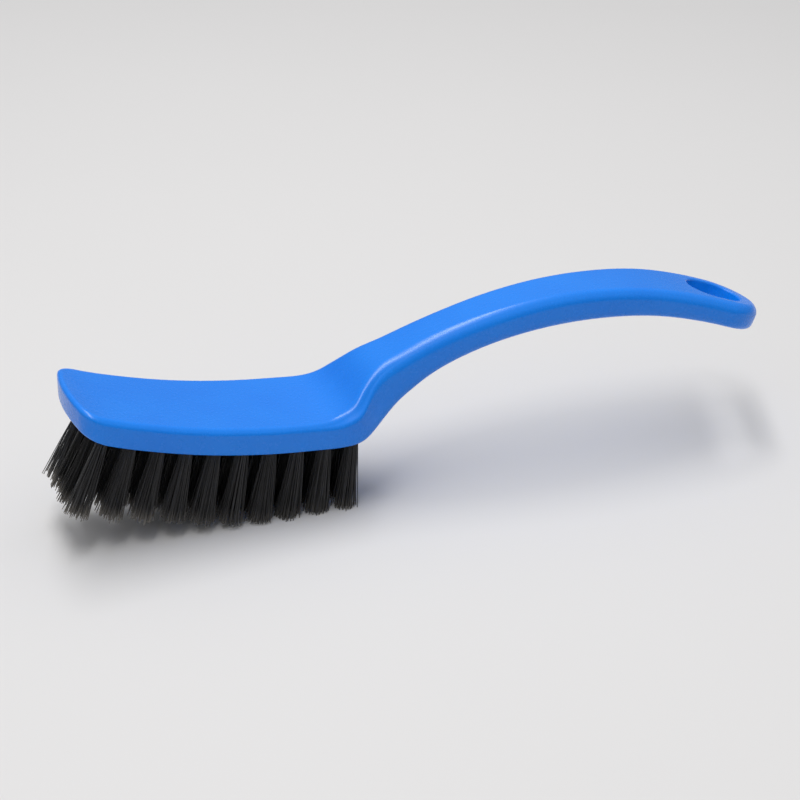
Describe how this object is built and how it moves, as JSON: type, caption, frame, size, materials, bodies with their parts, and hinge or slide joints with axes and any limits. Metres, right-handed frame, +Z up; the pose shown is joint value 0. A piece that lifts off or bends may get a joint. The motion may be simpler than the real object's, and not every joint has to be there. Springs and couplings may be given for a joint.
{
  "type": "grout brush",
  "caption": "Hand-held grout brush: one-piece curved plastic head and bow-shaped handle with a hang eye, with forty black bristle tufts in four lengthwise rows, trimmed to a shallow arc.",
  "frame": {"origin": "middle of the brush's length and width, at the level of the rear tufts' flat ends that it stands on", "axes": "+X from the front of the head to the handle's hang eye, +Y across the head, +Z up, away from the bristles"},
  "size_m": [0.2633, 0.044, 0.0661],
  "materials": {
    "body_plastic": "satin moulded polypropylene, through-coloured bright blue",
    "bristle": "extruded black filament, slight sheen along its length",
    "anchor_wire": "drawn flat wire"
  },
  "bodies": {
    "root": {"brush_body": "body_plastic", "tuft_a01": "bristle", "tuft_a02": "bristle", "tuft_a03": "bristle", "tuft_a04": "bristle", "tuft_a05": "bristle", "tuft_a06": "bristle", "tuft_a07": "bristle", "tuft_a08": "bristle", "tuft_a09": "bristle", "tuft_a10": "bristle", "tuft_b01": "bristle", "tuft_b02": "bristle", "tuft_b03": "bristle", "tuft_b04": "bristle", "tuft_b05": "bristle", "tuft_b06": "bristle", "tuft_b07": "bristle", "tuft_b08": "bristle", "tuft_b09": "bristle", "tuft_b10": "bristle", "tuft_c01": "bristle", "tuft_c02": "bristle", "tuft_c03": "bristle", "tuft_c04": "bristle", "tuft_c05": "bristle", "tuft_c06": "bristle", "tuft_c07": "bristle", "tuft_c08": "bristle", "tuft_c09": "bristle", "tuft_c10": "bristle", "tuft_d01": "bristle", "tuft_d02": "bristle", "tuft_d03": "bristle", "tuft_d04": "bristle", "tuft_d05": "bristle", "tuft_d06": "bristle", "tuft_d07": "bristle", "tuft_d08": "bristle", "tuft_d09": "bristle", "tuft_d10": "bristle", "tuft_anchors_row_a": "anchor_wire", "tuft_anchors_row_b": "anchor_wire", "tuft_anchors_row_c": "anchor_wire", "tuft_anchors_row_d": "anchor_wire"}
  },
  "joints": []
}
